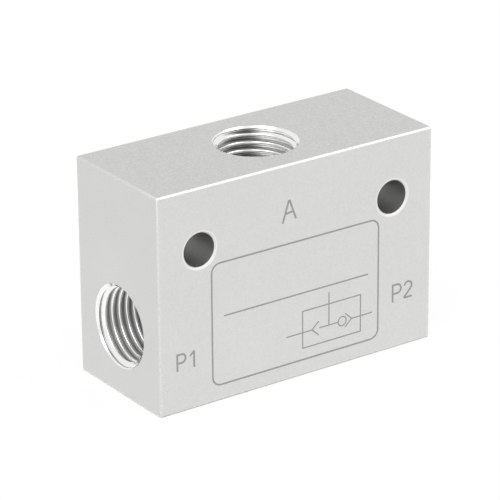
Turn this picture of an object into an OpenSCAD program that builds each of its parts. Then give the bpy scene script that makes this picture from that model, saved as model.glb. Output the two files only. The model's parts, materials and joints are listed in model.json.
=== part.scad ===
// Pneumatic shuttle valve, an OR element machined from a length of aluminium bar.
// Two inlets, P1 and P2, face each other on one axis, and outlet A opens on the top face.
// A loose shuttle between two flat seats closes the inlet that has the lower pressure.
// X runs from P1 to P2, Z runs up through A, and the marked face looks along -Y.
// The origin is the centre of the base. All sizes are in millimetres.

/* [Block] */
// Length of the block, from the P1 end to the P2 end
body_l = 51; // [48:0.5:64]
// Width of the block, from the marked face to the back
body_w = 22; // [20:0.5:30]
// Height of the block
body_h = 35.6; // [32:0.1:48]
// Chamfer along the four long edges of the bar
bar_chamfer = 0.25; // [0.1:0.05:1]
// Chamfer broken round the two cut ends
end_chamfer = 0.1; // [0.05:0.05:0.8]

/* [Ports] */
// Crest diameter of the internal G 1/4 thread, as drilled
port_bore_d = 11.65; // [10.9:0.05:11.9]
// Diameter of the countersunk mouth of each port
port_mouth_d = 13.5; // [12.5:0.1:15]
// Height of the axis that P1 and P2 share, above the base
port_axis_h = 11.2; // [10:0.1:13]
// Depth of the two inlet ports, from the ends of the block
inlet_depth = 11.5; // [9:0.5:13]
// Depth of the outlet port, from the top face
outlet_depth = 12; // [9:0.5:13.5]
// Diameter of the air passage through each seat
inlet_passage_d = 7; // [5:0.5:7.5]
// Diameter of the air passage from the chamber up to the outlet
outlet_passage_d = 8; // [5:0.5:9]
// Point angle of the drill, left as a cone at the foot of a port
drill_point = 118; // [90:1:140]

/* [Mounting holes] */
// Diameter of the two cross holes, clear of an M5 screw
mount_hole_d = 5.5; // [4.5:0.1:7]
// Distance between the two cross holes
mount_spacing = 36; // [30:0.5:38]
// Depth of the cross holes below the top face
mount_drop = 10; // [6:0.5:11]
// Chamfer at both ends of a cross hole
mount_chamfer = 0.25; // [0.1:0.05:0.8]

/* [Chamber] */
// Diameter of the bore that guides the shuttle
chamber_d = 10; // [9.2:0.1:10.4]
// Distance between the two seat faces
seat_gap = 13; // [11:0.25:15]

/* [Seat bush] */
// Outside diameter of the bush pressed in behind P2
bush_d = 10.7; // [10.5:0.05:10.85]
// Chamfer on the edges of the bush
bush_chamfer = 0.3; // [0.1:0.05:0.6]
// Diameter of the O-ring's round section before it is squeezed
o_ring_section_d = 1; // [0.8:0.1:1.3]
// Share of that section that the groove squeezes flat, in per cent
o_ring_squeeze_percent = 20; // [10:1:30]
// Distance of the O-ring groove from the seat face
o_ring_setback = 1.5; // [1:0.1:2.5]

/* [Shuttle] */
// Free travel of the shuttle from one seat to the other
travel = 2.5; // [1.5:0.1:3.5]
// Diameter of the core between its two flanges
waist_d = 5.6; // [4:0.2:6.4]
// Thickness of each flange that carries a seal
flange_t = 1.4; // [1:0.1:2]
// Number of guide fins
fin_count = 4; // [3:1:6]
// Thickness of a guide fin
fin_w = 1; // [0.6:0.1:1.6]
// Lead-in chamfer at the ends of the fins
fin_chamfer = 0.4; // [0.2:0.05:0.8]

/* [Seals] */
// Thickness of the rubber seal under its bead
seal_t = 1.5; // [1:0.1:2]
// Width of the seal's rim outside the bead
seal_rim = 0.15; // [0.1:0.05:0.3]
// Height of the sealing bead
bead_h = 0.35; // [0.2:0.05:0.6]
// Width of the sealing bead at its foot
bead_w = 0.4; // [0.3:0.05:0.5]
// Distance of the bead from the edge of the passage that it closes
bead_margin = 0.25; // [0.1:0.05:0.35]
// Diameter of the stem that holds the seal in the core
stem_d = 2.4; // [1.6:0.1:3]
// Length of the stem
stem_l = 2; // [1.2:0.1:2.6]

/* [Clearances] */
// Gap all round the fins in the chamber
guide_clearance = 0.08; // [0.03:0.01:0.15]
// Gap all round the pieces that are pressed together
press_clearance = 0.02; // [0.01:0.01:0.05]

/* [Hidden] */
$fn = 96;

// Overrun of a cutting shape past the face that it cuts
cut = 1;

port_bore_r = port_bore_d / 2;
port_mouth_r = port_mouth_d / 2;
inlet_passage_r = inlet_passage_d / 2;
outlet_passage_r = outlet_passage_d / 2;
chamber_r = chamber_d / 2;
bush_bore_r = bush_d / 2;
mount_hole_r = mount_hole_d / 2;

// Distances along X from the middle of the block
end_x = body_l / 2;
seat_x = seat_gap / 2;
port_foot_x = end_x - inlet_depth;

// The seal covers the passage, the margin, the bead and the rim
bead_in_r = inlet_passage_r + bead_margin;
bead_out_r = bead_in_r + bead_w;
seal_r = bead_out_r + seal_rim;
flange_r = bead_out_r;
guide_r = chamber_r - guide_clearance;
core_l = seat_gap - travel - 2 * (seal_t + bead_h);
waist_r = waist_d / 2;
stem_r = stem_d / 2;
socket_r = stem_r + press_clearance;
socket_l = stem_l + press_clearance;

// Squeezed section of the O-ring, as tall as its groove and wide enough to keep its area
groove_depth = o_ring_section_d * (1 - o_ring_squeeze_percent / 100);
groove_r = bush_bore_r - groove_depth;
ring_h = groove_depth - 2 * press_clearance;
ring_w = ring_h + PI / 4 * (pow(o_ring_section_d, 2) - pow(ring_h, 2)) / ring_h;
groove_w = ring_w + 2 * press_clearance;

// Axial length of the cone that the drill leaves between two radii
function cone_l(wide_r, narrow_r) = (wide_r - narrow_r) / tan(drill_point / 2);

// Rectangle with its four corners cut at 45 degrees, centred on the origin
module chamfered_rectangle(width, height, chamfer) {
  x = width / 2;
  y = height / 2;
  polygon([
    [-x + chamfer, -y], [x - chamfer, -y], [x, -y + chamfer], [x, y - chamfer],
    [x - chamfer, y], [-x + chamfer, y], [-x, y - chamfer], [-x, -y + chamfer]
  ]);
}

// Bar section drawn along X, with the edges of both ends broken
module block() {
  translate([0, 0, body_h / 2]) intersection() {
    rotate([90, 0, 90]) linear_extrude(body_l, center = true)
      chamfered_rectangle(body_w, body_h, bar_chamfer);
    rotate([90, 0, 0]) linear_extrude(body_w, center = true)
      chamfered_rectangle(body_l, body_h, end_chamfer);
    linear_extrude(body_h, center = true)
      chamfered_rectangle(body_l, body_w, end_chamfer);
  }
}

// Points down the wall of a port from its mouth at 0 to the given depth, as [radius, height]
function port_wall(depth) = [
  [0, cut],
  [port_mouth_r, cut],
  [port_mouth_r, 0],
  [port_bore_r, port_bore_r - port_mouth_r],
  [port_bore_r, -depth]
];

// Port with a drill cone at its foot and a passage that runs on to the given reach
module drilled_port(depth, passage_r, reach) {
  rotate_extrude() polygon(concat(port_wall(depth), [
    [passage_r, -depth - cone_l(port_bore_r, passage_r)],
    [passage_r, -reach],
    [0, -reach]
  ]));
}

// Port that steps down to the bore of the seat bush and then to the chamber
module stepped_port() {
  rotate_extrude() polygon(concat(port_wall(inlet_depth), [
    [bush_bore_r, -inlet_depth],
    [bush_bore_r, seat_x - end_x],
    [chamber_r, seat_x - end_x],
    [chamber_r, -seat_x - end_x],
    [0, -seat_x - end_x]
  ]));
}

// Cross hole along Y with both mouths chamfered
module mount_hole() {
  y = body_w / 2;
  wide_r = mount_hole_r + mount_chamfer;
  rotate([90, 0, 0]) rotate_extrude() polygon([
    [0, -y - cut], [wide_r, -y - cut], [wide_r, -y], [mount_hole_r, -y + mount_chamfer],
    [mount_hole_r, y - mount_chamfer], [wide_r, y], [wide_r, y + cut], [0, y + cut]
  ]);
}

// Turns a shape whose axis is Z so that it lies along the axis of P1 and P2, with Z towards P2
module along_port_axis() {
  translate([0, 0, port_axis_h]) rotate([0, 90, 0]) children();
}

// Machined block with its three ports, the chamber and the mounting holes
module body() {
  color([0.80, 0.80, 0.79]) difference() {
    block();
    along_port_axis() {
      translate([0, 0, -end_x]) mirror([0, 0, 1])
        drilled_port(inlet_depth, inlet_passage_r, end_x - seat_x + cut);
      translate([0, 0, end_x]) stepped_port();
    }
    translate([0, 0, body_h])
      drilled_port(outlet_depth, outlet_passage_r, body_h - port_axis_h);
    for (side = [-1, 1])
      translate([side * mount_spacing / 2, 0, body_h - mount_drop]) mount_hole();
  }
}

// Turned bush that forms the P2 seat, with a groove for its O-ring
module seat_bush() {
  out_r = bush_bore_r - press_clearance;
  groove_x = seat_x + o_ring_setback;
  color([0.72, 0.58, 0.31]) along_port_axis() rotate_extrude() polygon([
    [inlet_passage_r, seat_x],
    [out_r - bush_chamfer, seat_x],
    [out_r, seat_x + bush_chamfer],
    [out_r, groove_x],
    [groove_r, groove_x],
    [groove_r, groove_x + groove_w],
    [out_r, groove_x + groove_w],
    [out_r, port_foot_x - bush_chamfer],
    [out_r - bush_chamfer, port_foot_x],
    [inlet_passage_r + bush_chamfer, port_foot_x],
    [inlet_passage_r, port_foot_x - bush_chamfer]
  ]);
}

// O-ring squeezed between the groove of the bush and the block
module seat_o_ring() {
  middle_r = groove_r + groove_depth / 2;
  middle_x = seat_x + o_ring_setback + groove_w / 2;
  flat_w = ring_w - ring_h;
  color([0.10, 0.10, 0.10]) along_port_axis() rotate_extrude() translate([middle_r, middle_x]) {
    square([ring_h, flat_w], center = true);
    for (side = [-1, 1])
      translate([0, side * flat_w / 2]) circle(d = ring_h);
  }
}

// Moulded core with a flange at each end, a waist that air flows round, and guide fins
module shuttle_core() {
  end = core_l / 2;
  waist_end = end - flange_t;
  socket_end = end - socket_l;
  fin_root_r = (socket_r + waist_r) / 2;
  fin_tip_end = end - fin_chamfer;
  color([0.90, 0.88, 0.83]) along_port_axis() {
    rotate_extrude() polygon([
      [0, -socket_end], [socket_r, -socket_end], [socket_r, -end], [flange_r, -end],
      [flange_r, -waist_end], [waist_r, -waist_end], [waist_r, waist_end], [flange_r, waist_end],
      [flange_r, end], [socket_r, end], [socket_r, socket_end], [0, socket_end]
    ]);
    intersection() {
      rotate_extrude() polygon([
        [fin_root_r, -end], [guide_r - fin_chamfer, -end], [guide_r, -fin_tip_end],
        [guide_r, fin_tip_end], [guide_r - fin_chamfer, end], [fin_root_r, end]
      ]);
      for (i = [0 : fin_count - 1])
        rotate([0, 0, (i + 1 / 2) * 360 / fin_count])
          translate([0, -fin_w / 2, -end]) cube([chamber_r, fin_w, core_l]);
    }
  }
}

// Rubber seal with a raised bead, and a stem that presses into the core
module shuttle_seal() {
  foot = core_l / 2;
  face = foot + seal_t;
  slope_w = bead_w / 4;
  color([0.12, 0.12, 0.12]) rotate_extrude() polygon([
    [0, foot - stem_l], [stem_r, foot - stem_l], [stem_r, foot], [seal_r, foot], [seal_r, face],
    [bead_out_r, face], [bead_out_r - slope_w, face + bead_h],
    [bead_in_r + slope_w, face + bead_h], [bead_in_r, face], [0, face]
  ]);
}

module shuttle_seal_p1() {
  along_port_axis() mirror([0, 0, 1]) shuttle_seal();
}

module shuttle_seal_p2() {
  along_port_axis() shuttle_seal();
}

body();
seat_bush();
seat_o_ring();
shuttle_core();
shuttle_seal_p1();
shuttle_seal_p2();
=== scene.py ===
"""Looks of a pneumatic shuttle valve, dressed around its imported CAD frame.

The block is cut again here, so that its three ports get real helical threads. The marks on its front
are thin pieces that ride on it, and the bush, the O-ring and the shuttle keep their CAD meshes.
Everything is in metres in the frame of the part: X from P1 to P2, Z up, the marked face towards -Y.
"""

import json
import math

import bmesh
import bpy
from mathutils import Matrix, Vector


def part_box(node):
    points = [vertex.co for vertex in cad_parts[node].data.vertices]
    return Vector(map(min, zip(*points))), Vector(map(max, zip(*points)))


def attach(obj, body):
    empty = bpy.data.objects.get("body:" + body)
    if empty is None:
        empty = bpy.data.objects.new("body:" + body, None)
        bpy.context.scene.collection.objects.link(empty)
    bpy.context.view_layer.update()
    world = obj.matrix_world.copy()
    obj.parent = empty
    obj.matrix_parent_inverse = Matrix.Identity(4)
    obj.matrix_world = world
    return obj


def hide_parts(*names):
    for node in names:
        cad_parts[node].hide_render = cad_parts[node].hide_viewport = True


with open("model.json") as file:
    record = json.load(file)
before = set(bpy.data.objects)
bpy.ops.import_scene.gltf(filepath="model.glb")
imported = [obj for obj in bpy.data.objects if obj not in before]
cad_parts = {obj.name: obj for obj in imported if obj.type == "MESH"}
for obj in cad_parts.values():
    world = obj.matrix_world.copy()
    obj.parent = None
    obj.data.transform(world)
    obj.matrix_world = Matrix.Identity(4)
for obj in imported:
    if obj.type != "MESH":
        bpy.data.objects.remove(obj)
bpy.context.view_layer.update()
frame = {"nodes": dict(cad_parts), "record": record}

MM = 0.001
X_AXIS = Vector((1, 0, 0))
Y_AXIS = Vector((0, 1, 0))
Z_AXIS = Vector((0, 0, 1))

# Camera fitted to the corners of the block in the photograph, which is taken as 500 pixels square
IMAGE_PX = 500
FOCAL_PX = 3258.8
SENSOR_MM = 36.0
CAMERA_AZIMUTH = math.radians(-34.885)
CAMERA_ELEVATION = math.radians(22.697)
CAMERA_ROLL = math.radians(-0.469)
CAMERA_DISTANCE = 504.9 * MM
CAMERA_TARGET = Vector((-1.233, 0.0, 17.817)) * MM
CLIP_NEAR = 0.01
CLIP_FAR = 50.0

# Block, from the frame and from the breaks that its long edges and its ends have
BLOCK_LOW, BLOCK_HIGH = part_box("body")
BLOCK_MIDDLE = (BLOCK_LOW + BLOCK_HIGH) / 2
BLOCK_SIZE = BLOCK_HIGH - BLOCK_LOW
BAR_CHAMFER = 0.25 * MM
END_CHAMFER = 0.1 * MM
HOLE_CHAMFER = 0.25 * MM
MOUNTS = {mount["name"]: mount for mount in frame["record"]["mounts"]}

# Bores behind the ports
SEAT_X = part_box("seat_bush")[0].x
INLET_PASSAGE_R = 3.5 * MM
OUTLET_PASSAGE_R = 4.0 * MM
BUSH_BORE_R = 5.35 * MM
CHAMBER_R = 5.0 * MM
DRILL_HALF_ANGLE = math.radians(59)

# Cutters, and the mesh that they leave
OVERRUN = 1.0 * MM
ROUND_STEPS = 96
WELD = 0.001 * MM
SMOOTH_ANGLE = math.radians(38)

# Internal pipe thread of 19 turns to the inch, whose crest is the drilled wall of the port
THREAD_PITCH = 25.4 * MM / 19
THREAD_MAJOR_R = 13.157 * MM / 2
THREAD_ROUND = 0.1373 * THREAD_PITCH
THREAD_FLANK = math.radians(27.5)
THREAD_ROUND_STEPS = 4
CREST_ROUND = 0.25 * MM
THREAD_INNER_LIP = 0.005 * MM
THREAD_INNER_WALL = 0.25 * MM
THREAD_LEAD_TURNS = 1.0
THREAD_RUNOUT_TURNS = 1.25
THREAD_FOOT = 0.6 * MM

# How far below the mouth the first turn's root lies, at the side of the port that start names
P1_FIRST_ROOT = 0.62 * MM
P1_START = Y_AXIS
A_FIRST_ROOT = 0.74 * MM
A_START = X_AXIS

# Contact shadow on the floor
SHADOW_MIDDLE = BLOCK_MIDDLE + Vector((-0.15, 0.05, 0.0)) * MM
SHADOW_FADE = 0.2 * MM

# Marks on the front face: lines stand out and sink in by a hair, and later strokes of a letter less
FRONT_Y = BLOCK_LOW.y
MARK_PROUD = 0.012 * MM
MARK_SINK = 0.03 * MM
STROKE_STEP = 0.003 * MM
CORNER_STEPS = 8

# Corners at the two ends of each of the four sides of a line's section
BAR_SIDES = ((0, 2), (2, 3), (3, 1), (1, 0))


def front_point(x_mm, z_mm):
    """Point on the front face from millimetres."""
    return Vector((x_mm * MM, z_mm * MM))


def link(name, data):
    """New object of the mesh, lamp or camera in the scene."""
    made = bpy.data.objects.new(name, data)
    bpy.context.scene.collection.objects.link(made)
    return made


def mesh_from(made, name):
    """Mesh of a bmesh with its normals turned outwards, and the bmesh freed."""
    bmesh.ops.recalc_face_normals(made, faces=made.faces)
    mesh = bpy.data.meshes.new(name)
    made.to_mesh(mesh)
    made.free()
    return mesh


# Material nodes

# A noise keeps mostly between these two values
NOISE_LOW = 0.3
NOISE_HIGH = 0.7

# Octaves of a noise, and the stretch that leaves it even
PLAIN_DETAIL = 2.0
FINE_DETAIL = 3.0
EVEN = (1.0, 1.0, 1.0)


def new_material(name):
    """Material with its node tree and its Principled node."""
    material = bpy.data.materials.new(name)
    material.use_nodes = True
    return material, material.node_tree, material.node_tree.nodes["Principled BSDF"]


def add_node(tree, kind, **values):
    """Node of the kind with the named inputs set."""
    made = tree.nodes.new(kind)
    for name, value in values.items():
        made.inputs[name.replace("_", " ")].default_value = value
    return made


def add_math(tree, operation, first, second):
    """Math node of two linked values."""
    made = tree.nodes.new("ShaderNodeMath")
    made.operation = operation
    tree.links.new(first, made.inputs[0])
    tree.links.new(second, made.inputs[1])
    return made.outputs["Value"]


def add_vector_math(tree, operation, first, second=None):
    """Vector Math node of one or two vectors, each a constant or the output of a node."""
    made = tree.nodes.new("ShaderNodeVectorMath")
    made.operation = operation
    for socket, value in zip(made.inputs, (first, second)):
        if isinstance(value, bpy.types.NodeSocket):
            tree.links.new(value, socket)
        elif value is not None:
            socket.default_value = value
    return made.outputs


def add_place(tree):
    """Place in the frame of the part."""
    return tree.nodes.new("ShaderNodeTexCoord").outputs["Object"]


def add_noise(tree, grain, detail=PLAIN_DETAIL, place=None, stretch=EVEN):
    """Noise with grains of about the given size, drawn out along the axes by stretch."""
    scaled = add_vector_math(tree, "DIVIDE", place or add_place(tree), stretch)["Vector"]
    noise = add_node(tree, "ShaderNodeTexNoise", Scale=1.0 / grain, Detail=detail)
    tree.links.new(scaled, noise.inputs["Vector"])
    return noise.outputs["Fac"]


def add_turned(tree, axis, centre):
    """Distances along and away from an axis, for what a lathe, a drill or a tap leaves."""
    offset = add_vector_math(tree, "SUBTRACT", add_place(tree), centre)["Vector"]
    along = add_vector_math(tree, "DOT_PRODUCT", offset, axis)["Value"]
    across = add_vector_math(tree, "MULTIPLY", offset, Vector(EVEN) - Vector(axis))["Vector"]
    return along, add_vector_math(tree, "LENGTH", across)["Value"]


def add_side(tree, centre, way, away):
    """Cosine of the angle between the given way and the way out from an axis to a point."""
    offset = add_vector_math(tree, "SUBTRACT", add_place(tree), centre)["Vector"]
    reach = add_vector_math(tree, "DOT_PRODUCT", offset, way)["Value"]
    return add_math(tree, "DIVIDE", reach, away)


def add_rings(tree, grain, along, away):
    """Noise in fine rings around an axis."""
    place = tree.nodes.new("ShaderNodeCombineXYZ")
    tree.links.new(along, place.inputs["X"])
    tree.links.new(away, place.inputs["Y"])
    return add_noise(tree, grain, place=place.outputs["Vector"])


def add_range(tree, value, low, high, start=NOISE_LOW, end=NOISE_HIGH):
    """Value spread between low and high as it goes from start to end."""
    spread = add_node(
        tree, "ShaderNodeMapRange", From_Min=start, From_Max=end, To_Min=low, To_Max=high
    )
    tree.links.new(value, spread.inputs["Value"])
    return spread.outputs["Result"]


def add_step(tree, value, start, end):
    """Factor that rises from zero to one as the value goes from start to end."""
    return add_range(tree, value, 0.0, 1.0, start, end)


def add_blend(tree, factor, dark, light):
    """Colour between dark and light, each a colour or the output of a node."""
    mix = tree.nodes.new("ShaderNodeMix")
    mix.data_type = "RGBA"
    for name, colour in (("A", dark), ("B", light)):
        if isinstance(colour, tuple):
            mix.inputs[name].default_value = (*colour, 1.0)
        else:
            tree.links.new(colour, mix.inputs[name])
    tree.links.new(factor, mix.inputs["Factor"])
    return mix.outputs["Result"]


def add_level(tree, factor, low, high):
    """Value between low and high, each a number or the output of a node."""
    mix = tree.nodes.new("ShaderNodeMix")
    for name, value in (("A", low), ("B", high)):
        if isinstance(value, float):
            mix.inputs[name].default_value = value
        else:
            tree.links.new(value, mix.inputs[name])
    tree.links.new(factor, mix.inputs["Factor"])
    return mix.outputs["Result"]


def add_finish(tree, shader, pattern, tones, rough):
    """Colour and roughness that vary with a pattern."""
    tone = add_range(tree, pattern, 0.0, 1.0)
    tree.links.new(add_blend(tree, tone, *tones), shader.inputs["Base Color"])
    tree.links.new(add_range(tree, pattern, *rough), shader.inputs["Roughness"])


def add_bump(tree, shader, height, depth, strength):
    """Relief from a height pattern on the shader's normal."""
    bump = add_node(tree, "ShaderNodeBump", Strength=strength, Distance=depth)
    tree.links.new(height, bump.inputs["Height"])
    tree.links.new(bump.outputs["Normal"], shader.inputs["Normal"])


def add_folded(tree, centre):
    """Distances from a point along X, Y and Z, alike on both sides of it."""
    offset = add_vector_math(tree, "SUBTRACT", add_place(tree), centre)["Vector"]
    return add_vector_math(tree, "ABSOLUTE", offset)["Vector"]


def add_depths(tree):
    """Distances along X, Y and Z to the nearest faces of the block."""
    folded = add_folded(tree, BLOCK_MIDDLE)
    return add_vector_math(tree, "SUBTRACT", BLOCK_SIZE / 2, folded)["Vector"]


def add_edge_wear(tree, width, grain):
    """Factor that is highest on the block's edges and fades over the width, broken up by the grain.

    A point's distance to the nearest edge is the middle one of its distances to the block's faces.
    """
    split = tree.nodes.new("ShaderNodeSeparateXYZ")
    tree.links.new(add_depths(tree), split.inputs["Vector"])
    x, y, z = split.outputs
    lower = add_math(tree, "MINIMUM", x, y)
    upper = add_math(tree, "MAXIMUM", x, y)
    middle = add_math(tree, "MAXIMUM", lower, add_math(tree, "MINIMUM", upper, z))
    near = add_range(tree, middle, 1.0, 0.0, start=0.0, end=width)
    return add_math(tree, "MULTIPLY", near, add_range(tree, grain, 0.0, 1.0))


def add_faces(tree, axis, chamfer):
    """Factor of one on the block's two faces across an axis, and of zero below their chamfers."""
    depth = add_vector_math(tree, "DOT_PRODUCT", add_depths(tree), axis)["Value"]
    return add_range(tree, depth, 1.0, 0.0, start=0.0, end=chamfer)


def add_hole_highlight(tree, width):
    """Factor of the painted highlight round the cross holes, highest at their rims and fading over the
    width.
    """
    mount = MOUNTS["screw_hole_p2_side"]
    hole_x, _, hole_z = mount["pos_m"]
    rim_r = mount["dims"]["r_mm"] * MM + HOLE_CHAMFER
    folded = add_folded(tree, hole_z * Z_AXIS)
    offset = add_vector_math(tree, "SUBTRACT", folded, hole_x * X_AXIS)["Vector"]
    across = add_vector_math(tree, "MULTIPLY", offset, X_AXIS + Z_AXIS)["Vector"]
    away = add_vector_math(tree, "LENGTH", across)["Value"]
    return add_range(tree, away, 1.0, 0.0, start=rim_r, end=rim_r + width)


# Materials

# A pair of tones is the dark and the light end of a pattern, a pattern is named by the size of its
# grains, and relief is given as its depth and its strength
BLOCK_GRAIN = 0.3 * MM
BLOCK_CLOUD = 7.0 * MM
BLOCK_CLOUD_SHARE = 0.2
BLOCK_ROUGH = (0.46, 0.56)
BLOCK_RELIEF = (0.02 * MM, 0.4)
SIDE_TONES = ((0.675, 0.675, 0.663), (0.755, 0.755, 0.743))
# The ends are a little darker than the sides: painted shade.
SHADED_END_TONES = ((0.652, 0.652, 0.641), (0.73, 0.73, 0.718))
SAWN_TONES = ((0.625, 0.625, 0.614), (0.755, 0.755, 0.744))
SAWN_GRAIN = 0.25 * MM
WORN_TONE = (0.84, 0.84, 0.83)
WORN_GRAIN = 0.3 * MM
WORN_WIDTH = 0.45 * MM
# Pale ring round the mouths of the cross holes: a painted highlight.
HOLE_HIGHLIGHT_TONE = (0.95, 0.95, 0.94)
HOLE_HIGHLIGHT_WIDTH = 0.25 * MM

TAPPED_TONES = ((0.94, 0.94, 0.93), (0.98, 0.98, 0.97))
TAPPED_RINGS = 0.08 * MM
TAPPED_RELIEF = (0.003 * MM, 0.1)

# Roughness of a thread, from its dull crests over their burnished shoulders to the flanks. The ends of
# these zones are distances outwards from the crests.
CREST_ROUGH = 0.55
CREST_END = 0.03 * MM
SHOULDER_ROUGH = 0.15
SHOULDER_END = 0.22 * MM
FLANK_START = 0.3 * MM
MOUTH_ROUGH = 0.18
INLET_FLANK_ROUGH = 0.5
OUTLET_FLANK_ROUGH = 0.34

# Painted shade in the grooves: a darker colour that stands in for the shade and dark reflections there. It
# grows outwards from the crests, and downwards below the mouth and its cone. In the inlets it reaches up
# into the root of the first turn.
INLET_GROOVE_SHADE = (0.42, 0.42, 0.41)
OUTLET_GROOVE_SHADE = (0.3, 0.3, 0.29)
GROOVE_SHADE_START = 0.26 * MM
GROOVE_SHADE_FULL = 0.55 * MM
MOUTH_ZONE_DEPTH = 1.0 * MM
DEEP_ZONE_DEPTH = 1.7 * MM
CONE_DEPTH = 0.3 * MM
ROOT_DEPTH = 0.45 * MM
ROOT_START_R = THREAD_MAJOR_R - 0.15 * MM
ROOT_FULL_R = THREAD_MAJOR_R - 0.05 * MM

# Side of the outlet whose grooves take the painted shade, and the cosines of the angles to it between
# which that shade grows
OUTLET_SHADE_WAY = (0.22, 0.975, 0.0)
SHADE_SIDE_START = math.cos(math.radians(32))
SHADE_SIDE_FULL = math.cos(math.radians(12))

RIM_TONES = ((0.78, 0.78, 0.77), (0.86, 0.86, 0.85))
RIM_ROUGH = (0.6, 0.7)
# The walls of the cross holes are a little darker than the block: painted shade inside the holes.
WALL_TONES = ((0.61, 0.61, 0.60), (0.71, 0.71, 0.70))
WALL_ROUGH = (0.36, 0.48)
DRILLED_GRAIN = 0.1 * MM
DRILLED_STRETCH = (12.0, 1.0, 12.0)
DRILLED_RELIEF = (0.004 * MM, 0.2)

MARK_TONES = ((0.27, 0.27, 0.265), (0.35, 0.35, 0.34))
MARK_GRAIN = 0.06 * MM
MARK_STRETCH = (4.0, 1.0, 1.0)
MARK_ROUGH = (0.55, 0.7)
MARK_METALLIC = 0.3
MARK_RELIEF = (0.006 * MM, 0.3)

BRASS_TONES = ((0.62, 0.45, 0.18), (0.74, 0.57, 0.27))
BRASS_RINGS = 0.05 * MM
BRASS_ROUGH = (0.22, 0.36)
BRASS_RELIEF = (0.004 * MM, 0.2)

RUBBER_TONES = ((0.018, 0.018, 0.019), (0.038, 0.038, 0.04))
RUBBER_BLOOM = 0.5 * MM
RUBBER_ROUGH = (0.48, 0.68)
RUBBER_GRAIN = 0.08 * MM
RUBBER_RELIEF = (0.006 * MM, 0.25)

ACETAL_TONES = ((0.76, 0.74, 0.68), (0.84, 0.82, 0.77))
ACETAL_FLOW = 1.4 * MM
ACETAL_ROUGH = (0.36, 0.48)
ACETAL_GRAIN = 0.1 * MM
ACETAL_RELIEF = (0.004 * MM, 0.2)

# Floor, with the share of plain white in what the camera and the metal see of it
FLOOR_TONES = ((0.94, 0.94, 0.94), (0.96, 0.96, 0.96))
FLOOR_FIBRE = 30.0 * MM
FLOOR_ROUGH = 0.9
FLOOR_GLOW = 0.9
WHITE = (1.0, 1.0, 1.0, 1.0)


def add_block_colour(tree, grain):
    """Tones of the block's sides, its ends in painted shade and its sawn top and bottom, with worn edges
    and painted highlights at the hole rims.
    """
    mixed = add_node(tree, "ShaderNodeMix", Factor=BLOCK_CLOUD_SHARE)
    tree.links.new(grain, mixed.inputs["A"])
    tree.links.new(add_noise(tree, BLOCK_CLOUD), mixed.inputs["B"])
    tone = add_range(tree, mixed.outputs["Result"], 0.0, 1.0)
    sides = add_blend(tree, tone, *SIDE_TONES)
    shaded_ends = add_blend(tree, tone, *SHADED_END_TONES)
    colour = add_blend(tree, add_faces(tree, X_AXIS, END_CHAMFER), sides, shaded_ends)
    speckle = add_range(tree, add_noise(tree, SAWN_GRAIN, FINE_DETAIL), 0.0, 1.0)
    sawn = add_blend(tree, speckle, *SAWN_TONES)
    colour = add_blend(tree, add_faces(tree, Z_AXIS, BAR_CHAMFER), colour, sawn)
    wear = add_edge_wear(tree, WORN_WIDTH, add_noise(tree, WORN_GRAIN))
    worn = add_blend(tree, wear, colour, WORN_TONE)
    return add_blend(tree, add_hole_highlight(tree, HOLE_HIGHLIGHT_WIDTH), worn, HOLE_HIGHLIGHT_TONE)


def anodised_aluminium():
    """Blasted and clear anodised surface of the block: pale satin grey, brighter along its edges."""
    material, tree, shader = new_material("anodised_aluminium")
    grain = add_noise(tree, BLOCK_GRAIN, FINE_DETAIL)
    tree.links.new(add_block_colour(tree, grain), shader.inputs["Base Color"])
    tree.links.new(add_range(tree, grain, *BLOCK_ROUGH), shader.inputs["Roughness"])
    shader.inputs["Metallic"].default_value = 1.0
    add_bump(tree, shader, grain, *BLOCK_RELIEF)
    return material


def add_painted_shade(tree, mount, depth, away, side):
    """Factor of painted shade in a thread, in every turn on the named side or all round below the first.
    """
    crest_r = mount["dims"]["r_mm"] * MM
    groove = add_step(tree, away, crest_r + GROOVE_SHADE_START, crest_r + GROOVE_SHADE_FULL)
    within = add_step(tree, depth, CONE_DEPTH, ROOT_DEPTH)
    if side:
        turn = add_side(tree, mount["pos_m"], side, away)
        near = add_step(tree, turn, SHADE_SIDE_START, SHADE_SIDE_FULL)
        return add_math(tree, "MULTIPLY", add_math(tree, "MULTIPLY", within, near), groove)
    below = add_step(tree, depth, MOUTH_ZONE_DEPTH, DEEP_ZONE_DEPTH)
    lower = add_math(tree, "MULTIPLY", below, groove)
    root = add_step(tree, away, ROOT_START_R, ROOT_FULL_R)
    return add_math(tree, "MAXIMUM", lower, add_math(tree, "MULTIPLY", within, root))


def add_thread_rough(tree, mount, depth, away, flank_rough):
    """Roughness of a thread by the distance from its crests, with smoother flanks near the mouth."""
    crest_r = mount["dims"]["r_mm"] * MM
    flank = add_range(tree, depth, MOUTH_ROUGH, flank_rough, MOUTH_ZONE_DEPTH, DEEP_ZONE_DEPTH)
    off_shoulder = add_step(tree, away, crest_r + SHOULDER_END, crest_r + FLANK_START)
    beside = add_level(tree, off_shoulder, SHOULDER_ROUGH, flank)
    off_crest = add_step(tree, away, crest_r, crest_r + CREST_END)
    return add_level(tree, off_crest, CREST_ROUGH, beside)


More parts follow.
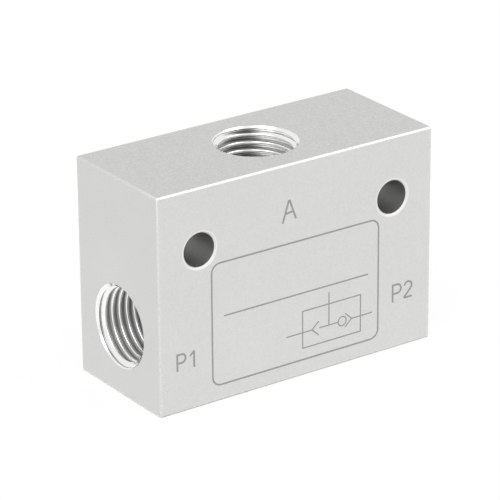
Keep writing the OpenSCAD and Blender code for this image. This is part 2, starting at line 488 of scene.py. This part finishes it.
def tapped_aluminium(name, mount, shade_tone, flank_rough, side=None):
    """Bright cut surface of a port, burnished beside its thread's crests, with painted shade in the
    grooves.
    """
    material, tree, shader = new_material(name)
    axis = [abs(part) for part in mount["axis"]]
    along, away = add_turned(tree, axis, mount["pos_m"])
    depth = add_vector_math(tree, "DOT_PRODUCT", add_depths(tree), axis)["Value"]
    rings = add_rings(tree, TAPPED_RINGS, along, away)
    unshaded = add_blend(tree, add_range(tree, rings, 0.0, 1.0), *TAPPED_TONES)
    shade_mask = add_painted_shade(tree, mount, depth, away, side)
    rough = add_thread_rough(tree, mount, depth, away, flank_rough)
    tree.links.new(add_blend(tree, shade_mask, unshaded, shade_tone), shader.inputs["Base Color"])
    tree.links.new(rough, shader.inputs["Roughness"])
    shader.inputs["Metallic"].default_value = 1.0
    add_bump(tree, shader, rings, *TAPPED_RELIEF)
    return material


def drilled_aluminium(name, tones, rough):
    """Wall or rim of the cross holes, with the fine rings that a drill leaves."""
    material, tree, shader = new_material(name)
    rings = add_noise(tree, DRILLED_GRAIN, stretch=DRILLED_STRETCH)
    add_finish(tree, shader, rings, tones, rough)
    shader.inputs["Metallic"].default_value = 1.0
    add_bump(tree, shader, rings, *DRILLED_RELIEF)
    return material


def marked_aluminium():
    """Dull grey of the laser marks, slightly uneven along the hatching."""
    material, tree, shader = new_material("laser_mark")
    hatch = add_noise(tree, MARK_GRAIN, stretch=MARK_STRETCH)
    add_finish(tree, shader, hatch, MARK_TONES, MARK_ROUGH)
    shader.inputs["Metallic"].default_value = MARK_METALLIC
    add_bump(tree, shader, hatch, *MARK_RELIEF)
    return material


def turned_brass():
    """Seat bush with the fine rings that turning leaves."""
    material, tree, shader = new_material("turned_brass")
    along, away = add_turned(tree, X_AXIS, MOUNTS["port_p2"]["pos_m"])
    rings = add_rings(tree, BRASS_RINGS, along, away)
    add_finish(tree, shader, rings, BRASS_TONES, BRASS_ROUGH)
    shader.inputs["Metallic"].default_value = 1.0
    add_bump(tree, shader, rings, *BRASS_RELIEF)
    return material


def nitrile_rubber():
    """Black rubber of the seals and the O-ring, with a dusty bloom."""
    material, tree, shader = new_material("nitrile_rubber")
    bloom = add_noise(tree, RUBBER_BLOOM, FINE_DETAIL)
    add_finish(tree, shader, bloom, RUBBER_TONES, RUBBER_ROUGH)
    add_bump(tree, shader, add_noise(tree, RUBBER_GRAIN), *RUBBER_RELIEF)
    return material


def moulded_acetal():
    """Natural white plastic of the shuttle's core."""
    material, tree, shader = new_material("moulded_acetal")
    flow = add_noise(tree, ACETAL_FLOW)
    add_finish(tree, shader, flow, ACETAL_TONES, ACETAL_ROUGH)
    add_bump(tree, shader, add_noise(tree, ACETAL_GRAIN), *ACETAL_RELIEF)
    return material


def add_outside_shadow(tree):
    """Factor of zero in the block's contact shadow, which lies close round its foot."""
    folded = add_folded(tree, SHADOW_MIDDLE)
    outside = add_vector_math(tree, "SUBTRACT", folded, BLOCK_SIZE / 2)["Vector"]
    split = tree.nodes.new("ShaderNodeSeparateXYZ")
    tree.links.new(outside, split.inputs["Vector"])
    away = add_math(tree, "MAXIMUM", split.outputs["X"], split.outputs["Y"])
    return add_step(tree, away, 0.0, SHADOW_FADE)


def add_seen(tree):
    """Factor of one for what the camera, metal and glass see, outside the contact shadow."""
    path = tree.nodes.new("ShaderNodeLightPath").outputs
    seen = add_math(tree, "MAXIMUM", path["Is Camera Ray"], path["Is Glossy Ray"])
    seen = add_math(tree, "MAXIMUM", seen, path["Is Transmission Ray"])
    return add_math(tree, "MULTIPLY", seen, add_outside_shadow(tree))


def studio_white():
    """Pale floor that takes shadows, and that the camera and the metal see mixed with plain white."""
    material, tree, shader = new_material("studio_white")
    tone = add_range(tree, add_noise(tree, FLOOR_FIBRE), 0.0, 1.0)
    tree.links.new(add_blend(tree, tone, *FLOOR_TONES), shader.inputs["Base Color"])
    shader.inputs["Roughness"].default_value = FLOOR_ROUGH
    shader.inputs["Specular IOR Level"].default_value = 0.0
    white = add_node(tree, "ShaderNodeEmission", Color=WHITE, Strength=1.0)
    mix = tree.nodes.new("ShaderNodeMixShader")
    glow = add_range(tree, add_seen(tree), 0.0, FLOOR_GLOW, start=0.0, end=1.0)
    tree.links.new(glow, mix.inputs["Fac"])
    tree.links.new(shader.outputs["BSDF"], mix.inputs[1])
    tree.links.new(white.outputs["Emission"], mix.inputs[2])
    tree.links.new(mix.outputs["Shader"], tree.nodes["Material Output"].inputs["Surface"])
    return material


ANODISED = anodised_aluminium()
TAPPED_INLETS = tapped_aluminium(
    "tapped_inlets", MOUNTS["port_p1"], INLET_GROOVE_SHADE, INLET_FLANK_ROUGH
)
TAPPED_OUTLET = tapped_aluminium(
    "tapped_outlet", MOUNTS["port_a"], OUTLET_GROOVE_SHADE, OUTLET_FLANK_ROUGH, OUTLET_SHADE_WAY
)
HOLE_RIM = drilled_aluminium("hole_rim", RIM_TONES, RIM_ROUGH)
HOLE_WALL = drilled_aluminium("hole_wall", WALL_TONES, WALL_ROUGH)
MARKED = marked_aluminium()


# Block


def run_along(edge):
    """Length of an edge along the bar."""
    return abs(edge.verts[0].co.x - edge.verts[1].co.x)


def chamfered_block():
    """Bar with its long edges and the edges of its ends broken."""
    made = bmesh.new()
    bmesh.ops.create_cube(made, size=1.0)
    for vert in made.verts:
        vert.co = BLOCK_MIDDLE + vert.co * BLOCK_SIZE
    long_edges = [edge for edge in made.edges if run_along(edge) > BLOCK_SIZE.x / 2]
    bmesh.ops.bevel(made, geom=long_edges, offset=BAR_CHAMFER, segments=1, affect="EDGES")
    end_edges = [edge for edge in made.edges if run_along(edge) < BLOCK_SIZE.x / 2]
    bmesh.ops.bevel(made, geom=end_edges, offset=END_CHAMFER, segments=1, affect="EDGES")
    bar = link("valve_block", mesh_from(made, "valve_block"))
    bar.data.materials.append(ANODISED)
    return bar


def cutter_from(made, name, place, material):
    """Object of a cutter that was built at the origin, at its place and in its material."""
    mesh = mesh_from(made, name)
    mesh.transform(place)
    mesh.materials.append(material)
    return link(name, mesh)


def revolved(name, profile, place, material):
    """Cutter turned from a profile of radius and height that starts and ends on the axis."""
    made = bmesh.new()
    rings = []
    for radius, height in profile:
        count = ROUND_STEPS if radius > 0 else 1
        turns = [math.tau * i / ROUND_STEPS for i in range(count)]
        rings.append(
            [made.verts.new((radius * math.cos(t), radius * math.sin(t), height)) for t in turns]
        )
    for lower, upper in zip(rings, rings[1:]):
        for i in range(ROUND_STEPS):
            j = (i + 1) % ROUND_STEPS
            below = [lower[i % len(lower)], lower[j % len(lower)]]
            above = [upper[j % len(upper)], upper[i % len(upper)]]
            made.faces.new(list(dict.fromkeys(below + above)))
    return cutter_from(made, name, place, material)


def thread_section(crest_r):
    """Section of the groove as axial offset and radius, with a round root between rounded crests."""
    slope = math.pi / 2 - THREAD_FLANK
    root_r = THREAD_MAJOR_R - THREAD_ROUND
    apex_r = root_r + THREAD_ROUND / math.sin(THREAD_FLANK)
    lip_r = crest_r - THREAD_INNER_LIP
    half_mouth = (apex_r - lip_r) * math.tan(THREAD_FLANK)
    half_width = half_mouth + CREST_ROUND * math.tan(slope / 2)
    turns = [slope * i / THREAD_ROUND_STEPS for i in range(THREAD_ROUND_STEPS + 1)]
    side = [(half_width, lip_r - THREAD_INNER_WALL)]
    side += [
        (half_width - CREST_ROUND * math.sin(t), lip_r + CREST_ROUND * (1 - math.cos(t)))
        for t in turns
    ]
    side += [
        (THREAD_ROUND * math.sin(t), root_r + THREAD_ROUND * math.cos(t)) for t in reversed(turns)
    ]
    return [(-along, r) for along, r in side[:-1]] + side[::-1]


def thread_cutter(name, crest_r, depth, place, material):
    """Right-hand helical groove from above the mouth down to where the tap ran out."""
    section = thread_section(crest_r)
    steps = round((THREAD_LEAD_TURNS + depth / THREAD_PITCH) * ROUND_STEPS)
    made = bmesh.new()
    rows = []
    for i in range(steps + 1):
        turn = math.tau * i / ROUND_STEPS
        height = -depth + THREAD_PITCH * i / ROUND_STEPS
        lift = min(1.0, i / (THREAD_RUNOUT_TURNS * ROUND_STEPS))
        sunk = (1.0 - lift) * (THREAD_MAJOR_R - crest_r + THREAD_ROUND)
        row = []
        for along, radius in section:
            r = radius - sunk
            row.append(made.verts.new((r * math.cos(turn), r * math.sin(turn), height + along)))
        rows.append(row)
    for lower, upper in zip(rows, rows[1:]):
        for i in range(len(section)):
            j = (i + 1) % len(section)
            made.faces.new((lower[i], lower[j], upper[j], upper[i]))
    made.faces.new(rows[0])
    made.faces.new(rows[-1][::-1])
    return cutter_from(made, name, place, material)


def hole_place(mount, start):
    """Place of a hole, and the heights of the two ends of its wall.

    The place is a matrix with the mouth as origin, Z out of the hole and X towards start.
    """
    axis = Vector(mount["axis"])
    spot = Vector(mount["pos_m"])
    face = max(BLOCK_LOW.dot(axis), BLOCK_HIGH.dot(axis))
    mouth = spot + axis * (face - spot.dot(axis))
    turn = Matrix((start, axis.cross(start), axis)).transposed().to_4x4()
    half = mount["dims"]["length_mm"] * MM / 2
    middle = spot.dot(axis) - face
    return Matrix.Translation(mouth) @ turn, middle + half, middle - half


def port_cutters(name, start, first_root, foot, material):
    """Cutters of a threaded port: its bore with what foot adds below the wall, and its thread."""
    mount = MOUNTS[name]
    place, wall_top, wall_foot = hole_place(mount, start)
    crest_r = mount["dims"]["r_mm"] * MM
    mouth_r = crest_r - wall_top
    wall = [(0.0, OVERRUN), (mouth_r, OVERRUN), (mouth_r, 0.0), (crest_r, wall_top)]
    wall.append((crest_r, wall_foot))
    bore = revolved(name + "_bore", wall + foot(crest_r, wall_foot), place, material)
    full_turns = math.floor((-wall_foot - THREAD_FOOT - first_root) / THREAD_PITCH)
    depth = first_root + full_turns * THREAD_PITCH
    return [bore, thread_cutter(name + "_thread", crest_r, depth, place, material)]


def drilled_foot(passage_r, reach):
    """What lies below a port that ends in a drill cone and a passage of the given reach."""
    return lambda crest_r, wall_foot: [
        (passage_r, wall_foot - (crest_r - passage_r) / math.tan(DRILL_HALF_ANGLE)),
        (passage_r, -reach),
        (0.0, -reach),
    ]


def stepped_foot(_, wall_foot):
    """What lies below port P2: the bore of the bush and the chamber of the shuttle."""
    end_x = BLOCK_HIGH.x
    return [
        (BUSH_BORE_R, wall_foot),
        (BUSH_BORE_R, SEAT_X - end_x),
        (CHAMBER_R, SEAT_X - end_x),
        (CHAMBER_R, -SEAT_X - end_x),
        (0.0, -SEAT_X - end_x),
    ]


def screw_hole_cutters(name):
    """Cutters of a cross hole: its drilled wall, and the paler chamfers of both mouths."""
    mount = MOUNTS[name]
    place, _, _ = hole_place(mount, X_AXIS)
    r = mount["dims"]["r_mm"] * MM
    wide_r = r + HOLE_CHAMFER
    width = BLOCK_SIZE.y
    wall = [(0.0, OVERRUN), (r, OVERRUN), (r, -width - OVERRUN), (0.0, -width - OVERRUN)]
    front = [(0.0, -wide_r), (wide_r, 0.0), (wide_r, OVERRUN), (0.0, OVERRUN)]
    back = [(radius, -width - height) for radius, height in front]
    return [
        revolved(name + "_bore", wall, place, HOLE_WALL),
        revolved(name + "_front_rim", front, place, HOLE_RIM),
        revolved(name + "_back_rim", back, place, HOLE_RIM),
    ]


def weld(mesh):
    """Joins the points that the cuts left closer together than any detail."""
    made = bmesh.new()
    made.from_mesh(mesh)
    bmesh.ops.remove_doubles(made, verts=made.verts, dist=WELD)
    made.to_mesh(mesh)
    made.free()


def carve(block, cutters):
    """Takes the cutters out of the block, with the cut faces in the cutters' material."""
    for cutter in cutters:
        step = block.modifiers.new(cutter.name, "BOOLEAN")
        step.operation = "DIFFERENCE"
        step.solver = "MANIFOLD"
        step.material_mode = "TRANSFER"
        step.object = cutter
    depsgraph = bpy.context.evaluated_depsgraph_get()
    carved = bpy.data.meshes.new_from_object(block.evaluated_get(depsgraph), depsgraph=depsgraph)
    block.modifiers.clear()
    block.data = carved
    for cutter in cutters:
        bpy.data.objects.remove(cutter)
    weld(carved)
    carved.shade_smooth()
    carved.set_sharp_from_angle(angle=SMOOTH_ANGLE)


block = chamfered_block()
axis_z = MOUNTS["port_p1"]["pos_m"][2]
inlet_foot = drilled_foot(INLET_PASSAGE_R, BLOCK_HIGH.x - SEAT_X + OVERRUN)
outlet_foot = drilled_foot(OUTLET_PASSAGE_R, BLOCK_HIGH.z - axis_z)
carve(
    block,
    [
        *port_cutters("port_p1", P1_START, P1_FIRST_ROOT, inlet_foot, TAPPED_INLETS),
        *port_cutters("port_p2", P1_START, P1_FIRST_ROOT, stepped_foot, TAPPED_INLETS),
        *port_cutters("port_a", A_START, A_FIRST_ROOT, outlet_foot, TAPPED_OUTLET),
        *screw_hole_cutters("screw_hole_p1_side"),
        *screw_hole_cutters("screw_hole_p2_side"),
    ],
)
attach(block, "valve_body")
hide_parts("body")


# Marks


def ribbon(points, width, closed):
    """Pairs of points on both sides of a line through the points, mitred at its corners."""
    pairs = []
    last = len(points) - 1
    for i, point in enumerate(points):
        into = point - points[i - 1] if closed or i > 0 else points[1] - point
        onward = points[(i + 1) % len(points)] - point if closed or i < last else into
        into = into.normalized()
        onward = onward.normalized()
        side = Vector((-into.y - onward.y, into.x + onward.x)).normalized()
        reach = width / 2 / side.dot(Vector((-onward.y, onward.x)))
        pairs.append((point + side * reach, point - side * reach))
    return pairs


def add_line(made, points, width, closed=False, proud=MARK_PROUD):
    """Thin closed bar along a line on the front face."""
    rows = []
    for pair in ribbon(points, width, closed):
        rows.append(
            [made.verts.new((p.x, FRONT_Y + y, p.y)) for p in pair for y in (-proud, MARK_SINK)]
        )
    ahead = rows[1:] + rows[:1] if closed else rows[1:]
    for here, there in zip(rows, ahead):
        for i, j in BAR_SIDES:
            made.faces.new((here[i], here[j], there[j], there[i]))
    if not closed:
        for row in (rows[0], rows[-1]):
            made.faces.new((row[0], row[1], row[3], row[2]))


def arc(centre, radius, start, sweep, steps):
    """Points along an arc, in degrees."""
    turns = [math.radians(start + sweep * i / steps) for i in range(steps + 1)]
    return [centre + radius * Vector((math.cos(t), math.sin(t))) for t in turns]


def rounded_rectangle(low, high, radius):
    """Closed outline with round corners."""
    left, lower = low + Vector((radius, radius))
    right, upper = high - Vector((radius, radius))
    centres = ((right, upper), (left, upper), (left, lower), (right, lower))
    points = []
    for i, centre in enumerate(centres):
        points += arc(Vector(centre), radius, 90 * i, 90, CORNER_STEPS)
    return points


def mark_piece(name, made):
    """Finishes a mark: it rides on the block and takes the mark material."""
    piece = link(name, mesh_from(made, name))
    piece.data.materials.append(MARKED)
    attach(piece, "valve_body")


FRAME_LOW = front_point(-15.95, 2.65)
FRAME_HIGH = front_point(15.37, 22.69)
FRAME_ROUND = 1.5 * MM
FRAME_LINE = 0.28 * MM
DIVIDER = (front_point(-13.75, 13.87), front_point(13.4, 13.87))
DIVIDER_LINE = 0.25 * MM

SYMBOL_LINE = 0.21 * MM
SYMBOL_LOW = front_point(0.85, 4.58)
SYMBOL_HIGH = front_point(11.96, 10.78)
SYMBOL_AXIS = 7.2 * MM
SYMBOL_LEFT_END = -2.2 * MM
SYMBOL_RIGHT_END = 14.22 * MM
STEM_X = 5.87 * MM
STEM_TOP = 12.73 * MM
SEAT_LEFT_TIP = 2.65 * MM
SEAT_RIGHT_TIP = 10.25 * MM
SEAT_SPAN = Vector((1.25, 1.14)) * MM
BALL_X = 8.42 * MM
BALL_R = 0.77 * MM
BALL_STEPS = 32
INNER_LINE_START = 4.05 * MM


def frame_mark():
    """Round-cornered line around the field of the marked face."""
    made = bmesh.new()
    outline = rounded_rectangle(FRAME_LOW, FRAME_HIGH, FRAME_ROUND)
    add_line(made, outline, FRAME_LINE, closed=True)
    mark_piece("mark_frame", made)


def divider_mark():
    """Level line across the field."""
    made = bmesh.new()
    add_line(made, DIVIDER, DIVIDER_LINE)
    mark_piece("mark_divider", made)


def symbol_mark():
    """Standard sign of a shuttle valve: a box, two seats, a ball, the inlets and the outlet."""
    made = bmesh.new()
    half = SYMBOL_LINE / 2
    low, high = SYMBOL_LOW, SYMBOL_HIGH
    corners = [low, Vector((high.x, low.y)), high, Vector((low.x, high.y))]
    add_line(made, corners, SYMBOL_LINE, closed=True)
    for tip, side in ((SEAT_LEFT_TIP, 1), (SEAT_RIGHT_TIP, -1)):
        arm_x = tip + side * SEAT_SPAN.x
        seat = [
            Vector((arm_x, SYMBOL_AXIS + SEAT_SPAN.y)),
            Vector((tip, SYMBOL_AXIS)),
            Vector((arm_x, SYMBOL_AXIS - SEAT_SPAN.y)),
        ]
        add_line(made, seat, SYMBOL_LINE)
    ball = arc(Vector((BALL_X, SYMBOL_AXIS)), BALL_R, 0, 360, BALL_STEPS)[:-1]
    add_line(made, ball, SYMBOL_LINE, closed=True)
    level = [
        (SYMBOL_LEFT_END, low.x - half),
        (low.x + half, SEAT_LEFT_TIP - half),
        (INNER_LINE_START, BALL_X - BALL_R - half),
        (SEAT_RIGHT_TIP + half, high.x - half),
        (high.x + half, SYMBOL_RIGHT_END),
    ]
    for start, end in level:
        add_line(made, [Vector((start, SYMBOL_AXIS)), Vector((end, SYMBOL_AXIS))], SYMBOL_LINE)
    for start, end in ((STEM_TOP, high.y + half), (high.y - half, SYMBOL_AXIS + half)):
        add_line(made, [Vector((STEM_X, start)), Vector((STEM_X, end))], SYMBOL_LINE)
    mark_piece("mark_symbol", made)


frame_mark()
divider_mark()
symbol_mark()


# Port letters, drawn with strokes of one width. Each letter starts at the lower left of its strokes.

LETTER_LINE = 0.33 * MM
LETTER_ARC_STEPS = 10
A_CORNER = front_point(-2.85, 26.37)
A_SIZE = Vector((2.5, 3.3)) * MM
A_SLANT = Vector((0.0, 0.15)) * MM
A_FLAT = 0.2 * MM
A_BAR = 0.42
P1_CORNER = front_point(-22.37, 6.88)
P1_HEIGHT = 2.7 * MM
P2_CORNER = front_point(18.25, 7.8)
P2_HEIGHT = 2.9 * MM

# Shares of a letter's height
P_WIDTH = 0.56
P_BOWL = 0.52
ONE_STEM = 1.13
ONE_FLAG = Vector((0.27, 0.27))
TWO_LEFT = 0.76
TWO_WIDTH = 0.56
TWO_FOOT = 0.09
TWO_ROUND = 0.25

# Degrees at which the round top of the figure two starts, and through which it turns
TWO_HEAD_START = 170
TWO_HEAD_SWEEP = -205


def letter_a(corner):
    """Two legs under a narrow flat, the left one longer, and a bar."""
    left = corner - A_SLANT
    right = corner + Vector((A_SIZE.x, 0.0)) + A_SLANT
    top = corner + Vector((A_SIZE.x / 2, A_SIZE.y))
    half_flat = Vector((A_FLAT / 2, 0.0))
    legs = [left, top - half_flat, top + half_flat, right]
    bar = [left.lerp(top - half_flat, A_BAR), right.lerp(top + half_flat, A_BAR)]
    return [legs, bar]


def letter_p(corner, height):
    """A stem, and a bowl that comes back to its side."""
    top = corner + Vector((0.0, height))
    bowl_h = P_BOWL * height
    bowl_centre = top + Vector((P_WIDTH * height - bowl_h / 2, -bowl_h / 2))
    bowl = arc(bowl_centre, bowl_h / 2, 90, -180, LETTER_ARC_STEPS)
    back = top + Vector((LETTER_LINE / 2, -bowl_h))
    return [[corner, top, *bowl, back]]


def figure_one(corner, height):
    """A stem, and a flag at its top."""
    foot = corner + Vector((ONE_STEM * height, 0.0))
    top = foot + Vector((0.0, height))
    return [[foot, top], [top - ONE_FLAG * height, top]]


def figure_two(corner, height):
    """A round top that runs on down to the left, and a base."""
    left = corner + Vector((TWO_LEFT, TWO_FOOT)) * height
    right = left + Vector((TWO_WIDTH * height, 0.0))
    round_r = TWO_ROUND * height
    centre = corner + Vector((TWO_LEFT + TWO_WIDTH / 2, 1.0 - TWO_ROUND)) * height
    head = arc(centre, round_r, TWO_HEAD_START, TWO_HEAD_SWEEP, LETTER_ARC_STEPS)
    return [[*head, left], [left, right]]


def letter_mark(name, strokes):
    """Piece of letter strokes, each a little lower than the one before, so that none share a plane."""
    made = bmesh.new()
    for i, points in enumerate(strokes):
        add_line(made, points, LETTER_LINE, proud=MARK_PROUD - i * STROKE_STEP)
    mark_piece(name, made)


letter_mark("mark_a", letter_a(A_CORNER))
letter_mark("mark_p1", letter_p(P1_CORNER, P1_HEIGHT) + figure_one(P1_CORNER, P1_HEIGHT))
letter_mark("mark_p2", letter_p(P2_CORNER, P2_HEIGHT) + figure_two(P2_CORNER, P2_HEIGHT))


# Pieces inside, which keep their CAD meshes


def dress(node, material):
    """Puts a material on a CAD node."""
    mesh = frame["nodes"][node].data
    mesh.materials.clear()
    mesh.materials.append(material)


BRASS = turned_brass()
RUBBER = nitrile_rubber()
ACETAL = moulded_acetal()
dress("seat_bush", BRASS)
dress("seat_o_ring", RUBBER)
dress("shuttle_core", ACETAL)
dress("shuttle_seal_p1", RUBBER)
dress("shuttle_seal_p2", RUBBER)


# Floor, light and camera

FLOOR_HALF = 3.0
FLOOR_CELLS = 8
SKY_STRENGTH = 0.89

# Dark opening overhead: the way to it, and the cosines of the angles between which it fades
SPOT_STRENGTH = 0.08
SPOT_WAY = (0.34, 0.10, 0.935)
SPOT_INNER = math.cos(math.radians(9))
SPOT_OUTER = math.cos(math.radians(20))

# Lamps, with the ways from the block to them
LAMP_DISTANCE = 0.9
KEY_WAY = (0.53, -0.38, 0.76)
KEY_SIZE = 0.5
KEY_WATTS = 1.5
LEFT_WAY = (-0.59, -0.36, 0.72)
LEFT_SIZE = 0.8
LEFT_WATTS = 2.8


def pale_floor():
    """Seamless pale floor under the block."""
    made = bmesh.new()
    bmesh.ops.create_grid(
        made, x_segments=FLOOR_CELLS, y_segments=FLOOR_CELLS, size=FLOOR_HALF
    )
    floor = link("floor", mesh_from(made, "floor"))
    floor.data.materials.append(studio_white())


def soft_world():
    """Even white surroundings, dark where the roof of a light tent is open."""
    world = bpy.data.worlds.new("studio")
    world.use_nodes = True
    tree = world.node_tree
    way = tree.nodes.new("ShaderNodeTexCoord").outputs["Generated"]
    near = add_vector_math(tree, "DOT_PRODUCT", way, SPOT_WAY)["Value"]
    strength = add_range(tree, near, SKY_STRENGTH, SPOT_STRENGTH, SPOT_OUTER, SPOT_INNER)
    background = tree.nodes["Background"]
    background.inputs["Color"].default_value = WHITE
    tree.links.new(strength, background.inputs["Strength"])
    bpy.context.scene.world = world


def soft_box(name, direction, size, watts):
    """Square area lamp that looks at the middle of the block."""
    lamp = bpy.data.lights.new(name, "AREA")
    lamp.shape = "SQUARE"
    lamp.size = size
    lamp.energy = watts
    made = link(name, lamp)
    way = Vector(direction).normalized()
    turn = way.to_track_quat("Z", "Y").to_matrix().to_4x4()
    made.matrix_world = Matrix.Translation(BLOCK_MIDDLE + way * LAMP_DISTANCE) @ turn


def fitted_camera():
    """Camera of the photograph."""
    level = math.cos(CAMERA_ELEVATION)
    back = Vector(
        (
            math.sin(CAMERA_AZIMUTH) * level,
            -math.cos(CAMERA_AZIMUTH) * level,
            math.sin(CAMERA_ELEVATION),
        )
    )
    right = Vector((math.cos(CAMERA_AZIMUTH), math.sin(CAMERA_AZIMUTH), 0.0))
    up = back.cross(right)
    turned_right = math.cos(CAMERA_ROLL) * right + math.sin(CAMERA_ROLL) * up
    turned_up = math.cos(CAMERA_ROLL) * up - math.sin(CAMERA_ROLL) * right
    data = bpy.data.cameras.new("camera")
    data.sensor_width = SENSOR_MM
    data.lens = FOCAL_PX / IMAGE_PX * SENSOR_MM
    data.clip_start = CLIP_NEAR
    data.clip_end = CLIP_FAR
    camera = link("camera", data)
    turn = Matrix((turned_right, turned_up, back)).transposed().to_4x4()
    camera.matrix_world = Matrix.Translation(CAMERA_TARGET + back * CAMERA_DISTANCE) @ turn
    bpy.context.scene.camera = camera


pale_floor()
soft_world()
soft_box("key", KEY_WAY, KEY_SIZE, KEY_WATTS)
soft_box("left", LEFT_WAY, LEFT_SIZE, LEFT_WATTS)
fitted_camera()
bpy.context.scene.view_settings.view_transform = "Standard"
